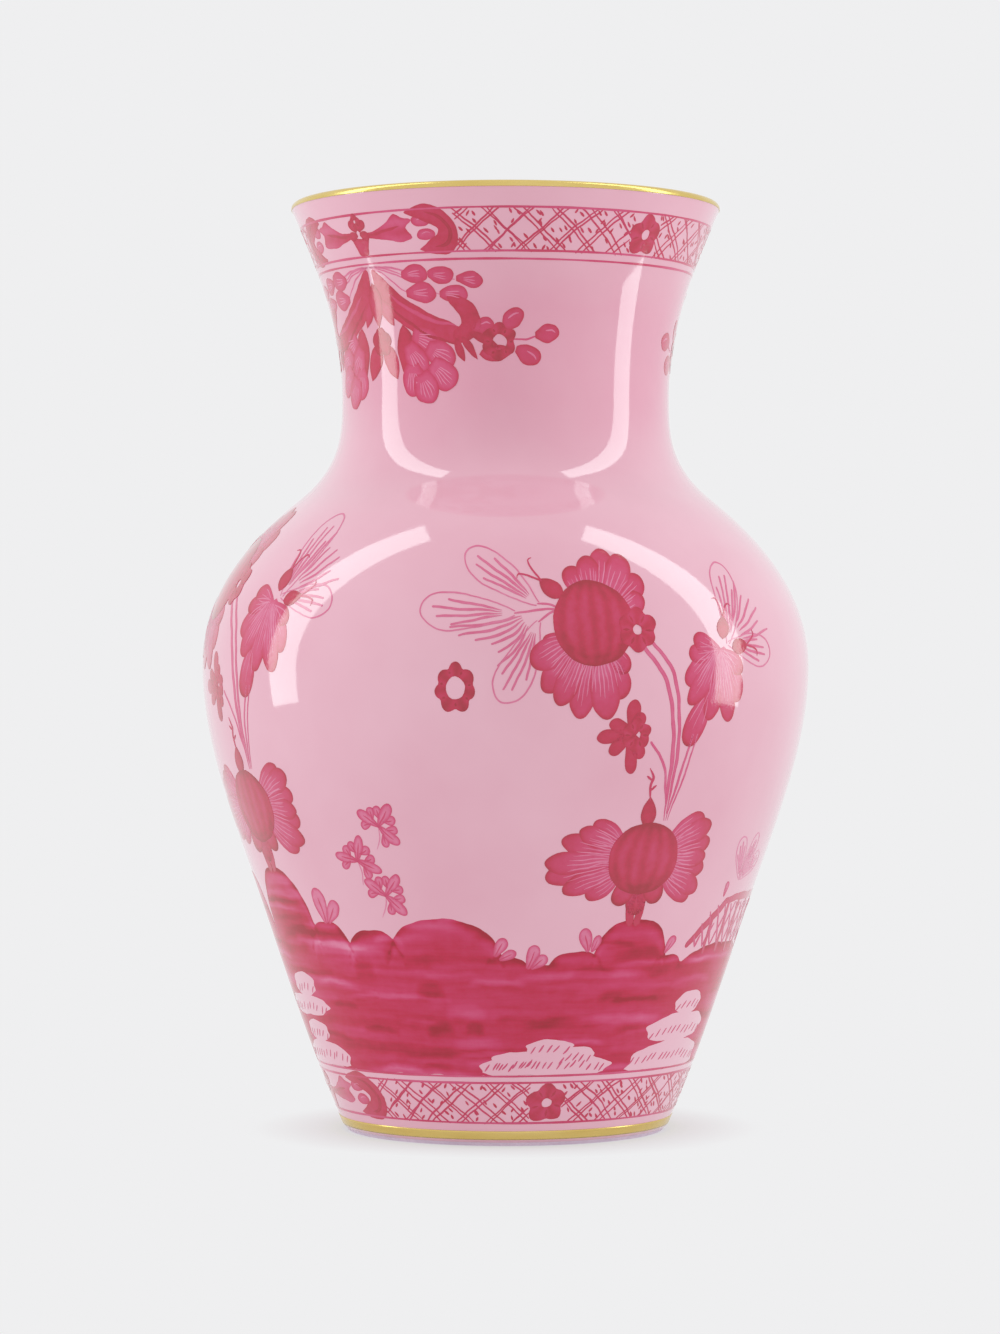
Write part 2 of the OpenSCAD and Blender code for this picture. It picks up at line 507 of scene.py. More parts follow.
class Enamel:
    """One piece of painting: closed films that lie on the glaze, each point with its own tone."""

    def __init__(self, name, material):
        self.name, self.material = name, material
        self.points, self.normals, self.tones, self.faces = [], [], [], []
        self.count = 0

    def film(self, theta, z, tones, triangles, level, steady=False):
        """Adds one closed film over triangles of (angle, height) points. A steady one is wheel-turned."""
        if not steady:
            triangles = facing_out(theta, z, triangles)
            theta, z = waver(theta, z)
        a = np.radians(theta)
        r = outer_r(z)
        g = slope(z)
        n = np.stack([np.sin(a), -np.cos(a), -g], -1) / np.sqrt(1 + g**2)[:, None]
        p = np.stack([r * np.sin(a), -r * np.cos(a), z], -1)
        top = self.count
        low = top + len(p)
        points = np.vstack([p + n * (FIRST_LAYER + LAYER * level), p - n * ROOTED])
        edges = np.vstack([triangles[:, [0, 1]], triangles[:, [1, 2]], triangles[:, [2, 0]]])
        have = set(map(tuple, edges.tolist()))
        rim = np.array([(i, j) for i, j in have if (j, i) not in have])
        i, j = rim.T
        sides = np.stack([j, i, i + len(p), j + len(p)], -1)
        first, second, third = (points[sides[:, k]] for k in range(3))
        across = np.cross(second - first, third - first)
        across /= np.maximum(np.linalg.norm(across, axis=1)[:, None], 1e-12)
        under = triangles[:, ::-1]
        self.faces += (triangles + top).tolist() + (under + low).tolist() + (sides + top).tolist()
        self.normals += [n[triangles.ravel()], -n[under.ravel()], np.repeat(across, 4, axis=0)]
        self.points.append(points)
        self.tones += [tones, tones]
        self.count = low + len(p)

    def line(self, marks, width, level, tone, ends=(0.5, 0.5)):
        """A stroke whose path is given as (angle, height) points on the vase."""
        theta, z = np.asarray(marks, float).T
        path = pairs(np.radians(theta - theta[0]) * outer_r(z), z - z[0])
        Spot(self, theta[0], z[0]).stroke(path, width, level, tone, ends)

    def ring(self, z, rng):
        """A line all the way round, as steady as a hand can hold a brush while the wheel turns."""
        width, sway, tone = 0.62, 0.12, 0.62
        theta = np.linspace(0, 360, ROUND, endpoint=False)
        a = np.radians(theta)
        phase = [rng.uniform(0, tau) for _ in range(4)]
        height = z + sway * (np.sin(a + phase[0]) + 0.5 * np.sin(3 * a + phase[1]))
        half = width / 2 * (1 + 0.14 * np.sin(5 * a + phase[2]) + 0.1 * np.sin(23 * a + phase[3]))
        theta = np.concatenate([theta, theta])
        low = np.arange(ROUND)
        nxt = (low + 1) % ROUND
        triangles = np.vstack([np.stack(corners, -1) for corners in (
            (low, nxt, nxt + ROUND), (low, nxt + ROUND, low + ROUND))])
        tones = tone + 0.08 * np.sin(7 * np.radians(theta) + phase[1])
        self.film(theta, np.concatenate([height - half, height + half]), tones, triangles, 3, steady=True)

    def finish(self, *stands_for):
        """Makes the piece."""
        points = np.vstack(self.points) * MM
        piece = mesh_object(self.name, points.tolist(), self.faces, self.material)
        mesh = piece.data
        tone = mesh.attributes.new("tone", "FLOAT", "POINT")
        tone.data.foreach_set("value", np.concatenate(self.tones).astype(np.float32))
        mesh.normals_split_custom_set(np.vstack(self.normals).tolist())
        if stands_for:
            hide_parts(*stands_for)


# ---- motifs

def petal(length, width, belly=0.64, root=0.3):
    """The outline of a petal that grows up from the origin, narrow at its root and round at its tip."""
    t = np.sin(np.linspace(0, 1, 15) * pi / 2)
    lower = root + (1 - root) * np.sin(pi / 2 * np.minimum(t / belly, 1))
    upper = np.sqrt(np.clip(1 - ((t - belly) / (1 - belly)) ** 2, 0, 1))
    half = width / 2 * np.where(t < belly, lower, upper)
    return np.vstack([pairs(-half, t * length), pairs(half, t * length)[-2::-1]])


def leaf(length, width, bend=0, points=13):
    """A pointed oval that grows up from the origin and bends to the right."""
    t = np.linspace(0, 1, points)
    half = width / 2 * np.sin(pi * t**0.85) ** 0.8
    middle = bend * t**2
    return np.vstack([pairs(middle - half, t * length), pairs(middle + half, t * length)[-2:0:-1]])


def oval(width, height, points=26):
    a = np.linspace(0, tau, points, endpoint=False)
    return pairs(width / 2 * np.sin(a), height / 2 * np.cos(a))


def lobes(radius, count):
    """A round outline with count lobes."""
    depth = 0.2
    a = np.linspace(0, tau, count * 9, endpoint=False)
    r = radius * (1 - depth + depth * np.abs(np.cos(count * a / 2)))
    return pairs(r * np.sin(a), r * np.cos(a))


def uneven(outline):
    """The same outline as an unhurried hand draws it, a little out of true."""
    a = np.arctan2(*outline.T)
    return outline * (1 + 0.04 * np.sin(2 * a + 1) + 0.025 * np.sin(5 * a + 2))[:, None]


vein_rng = random.Random(3)


def draw_petal(spot, length, width, lift, tone, veins=5):
    """A petal that darkens towards its tip, with fine veins scratched out of the wet paint."""
    def deeper(x, y):
        return 0.3 * np.clip(y / length, 0, 1) ** 1.4 - 0.12

    spot.patch(petal(length, width), lift, tone, rim=0.16, rim_width=0.9, shade=deeper)
    for v in range(veins):
        side = (v - (veins - 1) / 2) / max(veins - 1, 1) * width * 0.62
        start = length * vein_rng.uniform(0.04, 0.2)
        end = length * (0.84 - 0.05 * abs(side)) * vein_rng.uniform(0.78, 1)
        path = [(side * 0.3, start), (side * 0.8, (start + end) / 2), (side, end)]
        thick = vein_rng.uniform(0.24, 0.38)
        spot.stroke(path, thick, lift + 1.3, vein_rng.uniform(0.26, 0.38), (0.6, 0.2))


def fan(spot, heading, spread, count, reach, width, lift, root, tone=0.6, droop=0.22, veins=5):
    """Petals side by side, the middle one longest, fused at their roots."""
    for i in sorted(range(count), key=lambda i: -abs(i - (count - 1) / 2)):
        share = i / (count - 1) - 0.5
        turn = heading + spread * share
        scale = 1 + 0.08 * sin(5.1 * i + heading)
        length = reach * scale * (1 - droop * (2 * share) ** 2) - root
        base = spot.at(*ray(turn, root), turn + 3 * sin(2.3 * i + heading))
        draw_petal(base, length, width * scale, lift + (i % 2) * 0.8 - abs(share), tone, veins)


def ring_flower(spot, radius, count, lift, tone=0.84, hole=0.38, tall=1):
    """A lobed ring round an open eye."""
    outline = uneven(lobes(radius, count)) * (1, tall)
    eye = uneven(oval(2 * radius * hole, 2 * radius * hole * tall, 18))

    def mottled(x, y):
        return 0.07 * np.sin(np.arctan2(x, y) * count + 1) - 0.03

    spot.patch(outline, lift, tone, rim=0.05, grid=0.7, holes=[eye], shade=mottled)
    for i in range(count):
        turn = 360 / count * (i + 0.5)
        path = np.array([ray(turn, radius * (hole + 0.16)), ray(turn, radius * 0.72)]) * (1, tall)
        spot.stroke(path, 0.8, lift + 1, tone + 0.08, step=1)


def globe(spot, width, height):
    """A ripe fruit: a dark round body with soft ribs, darkest at its crown and its foot."""
    ribs = 5

    def ripe(x, y):
        up = np.clip(2 * y / height, -1, 1)
        across = 2 * x / width
        bulge = np.sqrt(1 - 0.92 * up**2)
        rib = np.cos(pi * ribs * np.clip(across / bulge, -1, 1)) * (1 - up**4)
        edge = np.clip(1 - np.hypot(across, up), 0, 1)
        crescent = 0.1 * np.exp(-(((edge - 0.2) / 0.07) ** 2)) * np.clip(-up - 0.2 * across, 0, 1)
        return 0.06 * rib + 0.13 * np.abs(up) ** 2.4 + 0.07 * np.exp(-edge / 0.09) + crescent

    spot.patch(oval(width, height, 44), 4, 0.8, rim=0.04, rim_width=1, grid=0.62, shade=ripe)


def bud(spot, length, width, lift):
    """A closed bud with two fine curled stamens beyond its tip."""
    spot.patch(leaf(length, width, points=11), lift, 0.84, rim=0.08)
    for side in (1, -1):
        curl = [(0, 0.9), (side * 1.2, 1.35), (side * 2.6, 1.6), (side * 4, 1.55)]
        spot.stroke(np.array(curl) * (1, length), 0.55, lift, 0.74, (0.8, 0.3))


def plume(spot, length, width, tone=0.34):
    """A feathery leaf drawn in fine outline, with a few short strokes inside."""
    spot.stroke(petal(length, width, belly=0.7, root=0.12), 0.5, 0, tone, (0.7, 0.7))
    for side, end in ((-0.34, 0.66), (-0.13, 0.82), (0.1, 0.86), (0.32, 0.7)):
        path = np.array([(side * 0.2, 0.14), (side * 0.62, 0.42), (side, end)]) * (width, length)
        spot.stroke(path, 0.8, 0, tone + 0.06, (0.1, 0.8))


def blossom(spot):
    """A small open flower with leafy arms."""
    for turn, reach in ((-92, 11.5), (-58, 8.5), (0, 11), (24, 7.5), (176, 11.5), (148, 8), (-128, 9)):
        spot.at(0, 0, turn).patch(petal(reach, 4.4, belly=0.7, root=0.5), 0, 0.82, rim=0.07)
    ring_flower(spot.at(1.6, 0), 5, 6, 1.5, hole=0.26)


def leaflet(spot, length, width, lift=0):
    """A small pale leaf with a darker edge and a vein."""
    spot.patch(petal(length, width, belly=0.66, root=0.25), lift, 0.33, rim=0.32, rim_width=0.5)
    spot.stroke([(0, 0), (0.1, length * 0.4), (0, length * 0.72)], 0.5, lift + 1, 0.64, (0.8, 0.2))


def sprig(spot):
    """Three small trefoil leaves on a hair-fine stem."""
    for turn in (-76, 14, 110):
        trefoil = spot.at(0, 0, turn)
        for side in (-1, 1):
            leaflet(trefoil.at(side * 0.7, 2.6, side * 46), 4.5, 3.2)
        leaflet(trefoil, 9, 3.7, 1)
    spot.stroke([(0, 0), (1, -4), (0.6, -8)], 0.4, 0, 0.3)


def bellflower(spot):
    """A flower seen from the side: a long tube, drooping petals, two buds and feathery plumes."""
    for turn, length, width in ((14, 26, 10.5), (97, 22, 10)):
        plume(spot.at(4, 5, turn), length, width)
    for turn in range(27, 78, 10):
        length = 20 + 2 * sin(turn)
        spot.at(4, 5, turn).stroke([(0, 7), (0.6, length * 0.6), (0, length)], 0.8, 0, 0.4, (0.2, 0.75))
    draw_petal(spot.at(-4.5, -9, 202), 19, 8.2, 0, 0.62, veins=3)
    fan(spot.at(0, 5), 190, 80, 5, 25.5, 7.8, 1, root=1.5, tone=0.55, droop=0.28)
    for turn, length in ((-72, 11), (-96, 13), (124, 12)):
        draw_petal(spot.at(0, 3, turn), length, 6.4, 0.6, 0.6, veins=3)
    for x, y, turn in ((1.5, 6.5, 14), (5.5, 3.5, 80)):
        bud(spot.at(x, y, turn), 7.6, 5, 4)


def great_flower(spot):
    """The largest bloom: a ribbed fruit between two fans of petals, with plumes to its left."""
    for x, y, turn, length, width in (
            (-17, 6, -52, 26, 10.5), (-24, 3, -88, 29, 11.5), (-17, 0.5, -155, 27, 11)):
        plume(spot.at(x, y, turn), length, width)
        spot.stroke([(-10, 4), ((x - 10) / 2, (y + 5.4) / 2), (x, y)], 0.7, 0, 0.42, (0.9, 0.6))
    for turn, reach in ((-98, 27), (-105, 25), (-113, 21), (-122, 17), (-132, 17), (-141, 20)):
        bent = [(0, 5), (-1.2, reach * 0.6), (-0.2, reach)]
        spot.at(-17, 3, turn).stroke(bent, 0.85, 0, 0.4, (0.2, 0.7))
    fan(spot, 24, 84, 6, 23, 7.8, 1, root=8, droop=0.14, veins=4)
    fan(spot, 197, 78, 6, 30, 8.6, 1, root=8, droop=0.24)
    for turn in (-116, 146):
        draw_petal(spot.at(*ray(turn, 9), turn), 9, 6.5, 0.5, 0.62, veins=2)
    globe(spot, 25.5, 26)
    bud(spot.at(-9, 8, -52), 9, 5.4, 3)
    ring_flower(spot.at(14, -2), 6.6, 6, 7, hole=0.22)


def stone_fruit(spot):
    """A ribbed fruit with a fan of petals on either hand, standing in a small leafy cup."""
    fan(spot, -90, 64, 7, 31, 7, 0, root=9, droop=0.26, veins=4)
    fan(spot, 90, 66, 7, 27, 7, 0, root=9, droop=0.16, veins=4)
    fan(spot, 180, 118, 5, 16.5, 7, 1, root=5, tone=0.72, veins=0)
    for side in (-1, 1):
        spot.stroke([(side, -10), (side * 2, -14.6), (side * 1.3, -20)], 2.9, 1, 0.8, (0.8, 0.9))
    globe(spot, 25, 22.5)
    spot.at(-1.5, 9.5).patch(leaf(9.5, 5.4), 3, 0.85, rim=0.08)
    spot.stroke([(-1.6, 18), (-2.4, 22), (-1.6, 25), (-3.2, 28)], 0.8, 3, 0.74)
    for y, side in ((21, 1), (24, -1)):
        spot.stroke([(-2, y), (-2 + side * 1.8, y + 1.4)], 0.7, 3, 0.74, step=0.5)


def plant(paints, theta, z):
    """A whole plant: the fruit on its rock, the stems that rise from it, and the flowers they carry."""
    level = 2

    def spot(kind, angle, height):
        return Spot(paints[kind], theta + angle, z + height, level)

    for marks, width in (
        ([(-5, 66), (0, 54), (2, 38), (3, 12)], 1.4),
        ([(-3.2, 67), (1.5, 56), (3.2, 40), (3.4, 14)], 1.2),
        ([(-2.5, 36), (1, 28), (2.8, 16)], 0.8),
        ([(6.5, 38), (5, 28), (3.4, 12)], 0.8),
        ([(7.6, 38), (5.8, 26), (3.8, 12)], 0.6),
    ):
        paints["stems"].line(np.add(marks, (theta, z)), width, level, 0.46, (0.9, 0.15))
    great_flower(spot("blooms", -14, 72))
    bellflower(spot("bells", 12, 61))
    blossom(spot("blooms", -6.6, 38))
    ring_flower(spot("blooms", -39, 52.5), 6.6, 7, 0, 0.9, hole=0.44, tall=1.12)
    stone_fruit(spot("fruits", 0, 0))


# ---- garden

GARDEN_LOW = 22.9
CLOUD_LOW = 23.7
MEADOW = 57.6
# Rocks and mounds: angle, half width in degrees, and top in mm.
ROCKS = [(-83, 10, 84), (-62, 12.5, 86.5), (-46.5, 8, 70.5), (-33, 8.5, 68.5), (-15, 15, 72.5),
         (0, 6, 61), (17, 7.5, 62.3), (31.5, 11, 72), (43, 5.5, 60.2), (66, 19, 62.5)]
ROCKS += [(centre + GARDEN_AGAIN, half, top) for centre, half, top in ROCKS]
# Dark blots in the ground: angle, height, half width in degrees and half height in mm.
BLOTS = [(-17.5, 38, 3.8, 2.1), (-8, 38.5, 2.6, 1.9), (-19, 49.5, 4.2, 3), (-28, 62, 2.6, 2.8),
         (-37, 56.5, 3.4, 2.8), (22, 56, 6, 1.6)]
# Clouds in the foreground, from the lowest puff up: first and last angle, lower and upper edge in mm.
CLOUDS = [
    [(-7.5, 31, 20, 29.8), (-4, 11, 24, 30.8), (14, 25.5, 26, 32), (5.5, 18.5, 29.6, 34.4)],
    [(37, 73, 18, 32), (42, 69.5, 31.6, 40.8), (51, 63.5, 40.4, 47.6)],
    [(-81, -51.5, 19, 30.9), (-73, -59, 30.5, 37.4)],
    [(-82, -54.5, 38.8, 45.6), (-72, -58.5, 45.2, 53)],
]
CLOUDS += [[(first + GARDEN_AGAIN, last + GARDEN_AGAIN, *rest) for first, last, *rest in cloud]
           for cloud in CLOUDS]
# Where the ground's sections meet, clear of the clouds.
CUTS = [-34, 86, 168, 274.4, 326]


def dome(theta, rock):
    """The height of one rock's top edge at an angle, or far below the garden where it isn't there."""
    centre, half, top = rock
    rise = np.sqrt(np.clip(1 - np.abs(apart(theta, centre) / half) ** 2.6, 0, 1))
    return np.where(rise > 0, MEADOW - 4 + (top - MEADOW + 4) * rise, 0)


def crest(theta):
    """The garden's skyline."""
    tops = np.max([dome(theta, rock) for rock in ROCKS], axis=0)
    return np.maximum(tops, MEADOW + 0.5 * np.sin(np.radians(theta * 7)))


def puff(tier, z):
    """The first and last angle of one puff at height z, or none where it isn't there."""
    first, last, low, high = tier
    u = np.clip(2 * (z - low) / (high - low) - 1, -1, 1)
    half = (last - first) / 2 * (1 - np.abs(u) ** 2.3) ** 0.45 * (1 + 0.05 * np.sin(7 * u + last))
    half = np.where((z >= low) & (z <= high), half, -1)
    middle = (first + last) / 2 + 0.04 * (last - first) * u
    return np.where(half > 0, middle - half, 1e9), np.where(half > 0, middle + half, -1e9)


def cloud_outline(cloud):
    """The outline of puffs that stand on one another, in (angle, height), with a flat base."""
    share = (1 - np.cos(np.linspace(0, pi, 26))) / 2
    z = np.unique(np.concatenate([low + (high - low) * share for _, _, low, high in cloud]))
    z = np.concatenate([[max(CLOUD_LOW, cloud[0][2] + 0.01)], z[z > CLOUD_LOW + 0.1]])
    left = np.min([puff(tier, z)[0] for tier in cloud], axis=0)
    right = np.max([puff(tier, z)[1] for tier in cloud], axis=0)
    there = right - left > 0.2
    return np.vstack([pairs(left, z)[there], pairs(right, z)[there][::-1]])


def hatch(paint, cloud, rng):
    """Slanting strokes that give each puff of a cloud its shade."""
    for first, last, low, high in cloud:
        low = max(low, CLOUD_LOW)
        count = int((last - first) / 2.3)
        for i in range(count):
            share = (i + 0.9 + rng.uniform(-0.2, 0.2)) / (count + 0.8)
            theta = first + (last - first) * share
            z = low + (high - low) * (0.24 + rng.uniform(-0.05, 0.08) + 0.16 * sin(pi * share))
            run = rng.uniform(1.1, 1.6)
            paint.line([(theta - run / 2, z - 1.05), (theta, z), (theta + run / 2, z + 1.1)], 0.5, 1, 0.6)


def brush_field(rng):
    """How the ground's tone changes: long level strokes, thick and thin, blots, and the rocks' edges."""
    strokes = [(rng.uniform(0, 360), rng.uniform(GARDEN_LOW, 84), rng.uniform(4, 22),
                rng.uniform(0.6, 2.4), rng.choice([-0.24, -0.16, -0.08, 0.1, 0.18])) for _ in range(340)]
    strokes += [(theta + half, *size, 0.17) for theta, *size in BLOTS for half in (0, GARDEN_AGAIN)]

    def shade(theta, z):
        total = np.zeros(len(z))
        for middle, height, reach, thick, weight in strokes:
            x = apart(theta, middle) / reach
            bow = height - 1.2 * x**2
            total += weight * np.clip(1 - x**4, 0, 1) * np.exp(-(((z - bow) / thick) ** 4))
        for rock in ROCKS:
            below = dome(theta, rock) - z
            edge = 0.2 * np.exp(-((below / 1.4) ** 2)) - 0.12 * np.exp(-(((below - 4) / 1.8) ** 2))
            total += np.where(below > -0.2, edge, 0) * np.clip((z - MEADOW + 3) / 7, 0, 1)
        return total

    return shade


class Flat(Spot):
    """A spot whose drawing points are angles times a fixed scale, and heights."""

    def __init__(self, paint, per_degree):
        super().__init__(paint, 0, 0)
        self.per_degree = per_degree

    def lay(self, points):
        x, z = np.asarray(points, float).T
        return x / self.per_degree, z

    def back(self, theta, z):
        return theta, z


def garden(paint, rng):
    """The painted ground all round the vase, which leaves the clouds bare."""
    spot = Flat(paint, radians(1) * float(outer_r(45)))
    scale = (spot.per_degree, 1)
    shade = brush_field(rng)
    for start, end in zip(CUTS, CUTS[1:]):
        theta = np.linspace(start, end, round((end - start) / 0.4) + 1)
        top = pairs(theta, crest(theta))
        bottom = pairs(theta, GARDEN_LOW + 0.15 * np.sin(np.radians(theta * 11)))[::-1]
        sides = [np.linspace(a, b, 40)[1:-1] for a, b in ((top[-1], bottom[0]), (bottom[-1], top[0]))]
        outline = np.vstack([top, sides[0], bottom, sides[1]])
        holes = [cloud_outline(cloud) for cloud in CLOUDS
                 if start < (cloud[0][0] - start) % 360 + start < end]
        holes = [pairs((hole[:, 0] - start) % 360 + start, hole[:, 1]) * scale for hole in holes]
        spot.patch(outline * scale, 0, 0.8, rim=0, grid=0.95, shade=shade, holes=holes)


def fence(paint, first, last):
    """A low garden fence: a sloping rail, a level rail, posts and a lattice."""
    level = 2
    rise = first + 12.5
    paint.line([(first, 62.5), (first + 6, 69), (rise, 76.2)], 2.4, level, 0.72, (0.8, 0.9))
    paint.line([(rise, 76.2), (rise + 10, 77), (last, 77)], 2.4, level, 0.7, (0.9, 0.9))
    for theta in np.arange(first + 8, last - 3, 6.2):
        top = min(76, 62.5 + (theta - first) * 1.09)
        paint.line([(theta, 60), (theta, (60 + top) / 2), (theta, top)], 1.5, level, 0.7, (0.9, 0.9))
    for theta in np.arange(first + 3.4, last - 4, 3.4):
        top = min(75.5, 62.5 + (theta - first) * 1.05)
        for lean in ((62 - top) * 0.34, (top - 62) * 0.34):
            if lean > 0 or theta + lean >= first + 2:
                lath = [(theta, 62), (theta + lean / 2, (62 + top) / 2), (theta + lean, top - 0.6)]
                paint.line(lath, 0.8, level, 0.55)


# ---- borders

class Border:
    """A band between two heights: its trellis stops at a cartouche and at a ring flower."""

    def __init__(self, low, high, cartouche, flower, again):
        self.low = low
        self.high = high
        self.middle = (low + high) / 2
        self.per_degree = radians(1) * float(outer_r(self.middle))
        self.stops = [(cartouche + half, flower + half) for half in (0, again)]

    def open_to(self, theta):
        """Whether the trellis may cross the band at this angle."""
        reaches = (34.5 / self.per_degree, 4.6 / self.per_degree)
        return all(abs(apart(theta, centre)) > reach
                   for stop in self.stops for centre, reach in zip(stop, reaches))

    def trellis(self, paint, rng):
        """Paired lines that cross, with a few dashes in every cell."""
        count = 39
        pitch = 360 / count
        height = self.high - self.low
        lean = height / self.per_degree * 1.12
        gap = 1.7 / self.per_degree
        share = np.linspace(0, 1, 9)
        for i in range(count):
            for side in (-1, 1):
                for shift in (0, gap):
                    start = i * pitch + shift + rng.uniform(-0.6, 0.6)
                    sag = rng.uniform(-0.8, 0.8)
                    theta = start + side * lean * (share - 0.5) + sag * np.sin(pi * share)
                    self.clipped(paint, theta, self.low + height * share, rng)
        clear = 0.45 / self.per_degree
        for i in range(count * 4):
            for level in (0.1, 0.3, 0.5, 0.7, 0.9):
                level += rng.uniform(-0.05, 0.05)
                theta = (i + rng.random()) * pitch / 4
                along = [(theta - side * lean * (level - 0.5) + clear) % pitch for side in (-1, 1)]
                if not self.open_to(theta) or min(along) < gap + 2 * clear or rng.random() < 0.12:
                    continue
                z = self.low + height * level
                run = rng.uniform(0.25, 0.6) * rng.choice([-1, 1, 1]) / self.per_degree
                paint.line([(theta - run, z + 0.6), (theta + run, z - 0.6)], 0.75, 1, 0.82, (0.4, 0.7))

    def clipped(self, paint, theta, z, rng):
        """Draws the stretches of a trellis line that lie on open ground."""
        run = []
        width = rng.uniform(0.44, 0.6)
        for mark in [*zip(theta, z), None]:
            if mark is not None and self.open_to(mark[0]):
                run.append(mark)
                continue
            if len(run) > 1:
                paint.line(run, width, 0, 0.76, (0.8, 0.8))
            run = []

    def scrolls(self, spot):
        """One cartouche: a bow in the middle, and a long leaf, berries and a scroll on either hand."""
        half = (self.high - self.low) / 2
        ribbon = rounded([(2.2, 0.5), (8, 1.5), (13, 3.4), (16.5, 5.4), (18.6, 4.4), (22, 3.6),
                          (19.4, 1.4), (20.8, -1.6), (17, -2.8), (12, -2.5), (7, -1.3), (2.2, -0.6)], 0.9)
        scroll = [(20.5, half - 0.8), (26.5, half - 1), (31.6, 3.2), (33.2, 0), (31.4, -3.4),
                  (27, -half + 1.5), (22.5, -half + 0.9)]

        def folds(x, y):
            return 0.1 * np.cos(y * 1.1) - 0.004 * x

        for flip in (False, True):
            hand = spot.at(0, 0, flip=flip)
            hand.stroke(scroll, 6.4, 2, 0.8, (0.08, 0.08))
            hand.stroke(np.array(scroll[1:-1]) * 1.02, 1.3, 3, 0.9, (0.1, 0.1))
            hand.patch(ribbon, 1, 0.7, rim=0.1, shade=folds)
            hand.stroke([(4, 0), (10, 0.5), (17, 1.6)], 0.9, 2, 0.88, (0.3, 0.1))
            for x, y, size in ((25, 3.2, 1), (25.6, -1.2, 0.92)):
                berry = hand.at(x, y, size=size)
                berry.patch(oval(6.4, 3.9), 1, 0.56, rim=0.18)
                berry.stroke([(-1.4, 0.2), (0, 0.7), (1.4, 0.5)], 0.4, 2, 0.34, step=0.6)
            hand.at(0.4, 1.2, 44).patch(petal(4.4, 2.8), 2, 0.82, rim=0.08)
            hand.at(0.6, 0.4, 106).patch(petal(4, 3), 2, 0.8, rim=0.08)
        ring_flower(spot.at(0, 4), 2.5, 4, 3, hole=0.2)
        foot = rounded([(-4.2, -0.4), (0, -1), (4.2, -0.4), (3, -3.4), (1.8, -half + 0.5),
                        (-1.8, -half + 0.5), (-3, -3.4)])
        spot.patch(foot, 2, 0.74, rim=0.1)

    def draw(self, trellis, cartouches, rng):
        self.trellis(trellis, rng)
        for cartouche, flower in self.stops:
            self.scrolls(Spot(cartouches, cartouche, self.middle))
            ring_flower(Spot(cartouches, flower, self.middle), 6.6, 5, 2, hole=0.24, tall=0.95)


def swag(spot):
    """One hand of the garland below the neck's border: berries, a ribbon, leaves and flowers."""
    for x, y in ((13, -3.5), (22, -4), (31, -6), (13.5, -9), (25, -10)):
        spot.stroke([(0.5, -0.5), (x * 0.5, y * 0.42), (x, y)], 0.5, 0, 0.4, (0.9, 0.5))
    for x, y, turn, length, width in (
            (13, -3.5, 92, 9.5, 6), (22.5, -4, 94, 8.5, 5.6), (31.5, -5.8, 92, 8.6, 5),
            (13.5, -9.5, 90, 10.5, 6.4), (25, -10, 94, 9.2, 5.6)):
        berry = spot.at(x, y, turn)
        berry.patch(petal(length, width, belly=0.55), 1, 0.66, rim=0.14)
        for side in (-0.9, 0.2, 1.1):
            berry.stroke([(side * 0.4, length * 0.25), (side, length * 0.7)], 0.4, 2, 0.36, step=0.8)
    for path, width, lift, tone, ends in (
        ([(1.5, -2), (5.5, -9.5), (12.5, -16), (22, -21), (31, -23)], 8.2, 1, 0.82, (0.22, 0.5)),
        ([(6, -9), (13, -14.2), (22, -18.5), (29, -20)], 1.3, 2, 0.6, (0.1, 0.1)),
        ([(5, -12), (12, -18.2), (21, -23.5), (29, -26)], 1, 2, 0.94, (0.1, 0.1)),
        ([(28.5, -23.5), (33, -20.5), (33, -15.5), (28.8, -11.8)], 5.8, 1.5, 0.84, (0.7, 0.6)),
    ):
        spot.stroke(path, width, lift, tone, ends)
    for x, y, turn, length in ((27.5, -23.5, 160, 8), (30, -23, 148, 9), (32.5, -22, 118, 11)):
        spot.at(x, y, turn).patch(leaf(length, 2.8), 2, 0.84, rim=0.06)
    spot.at(9.5, -19, 172).patch(leaf(17, 6.6, bend=1.5), 1.5, 0.84, rim=0.1)
    for i, (x, y, turn, length, width) in enumerate((
            (13, -22, 112, 9.5, 7.4), (11, -25, 150, 11, 8), (18, -26, 124, 10.5, 8.4),
            (12, -31, 176, 10.5, 8.2), (19, -31, 136, 11, 9), (15, -34, 160, 10.5, 8.6))):
        lobe = spot.at(x, y, turn)
        lift = 2 + 0.6 * i
        lobe.patch(petal(length, width, belly=0.52, root=0.5), lift, 0.58, rim=0.22, rim_width=0.8)
        for side in (-2.2, -1.1, 0.1, 1.2, 2.3):
            tip = length * (0.84 - 0.03 * side**2)
            arc = [(side * 0.5 + 0.3, length * 0.3), (side * 0.9, length * 0.55), (side, tip)]
            lobe.stroke(arc, 0.34, lift + 1, 0.3, (0.5, 0.2))
    ring_flower(spot.at(41.5, -25), 5.8, 6, 3, 0.88, hole=0.4)
    spot.at(35, -29, 84).patch(leaf(11, 5.2), 2, 0.74, rim=0.14)
    for x, y, turn, size in (
            (33.6, -21.5, 70, 1), (43.5, -21, 42, 1.15), (46.5, -27.5, 112, 1.2), (53, -23, 80, 1.15)):
        berry = spot.at(x, y, turn, size)
        berry.patch(petal(7, 5.2, belly=0.5), 1.5, 0.7, rim=0.14)
        berry.stroke([(-0.9, 3), (-0.6, 4.8), (0.2, 5.8)], 0.5, 3, 0.34, step=0.6)
    spot.stroke([(45, -24.5), (50, -24.4), (54, -23)], 0.6, 0, 0.55)


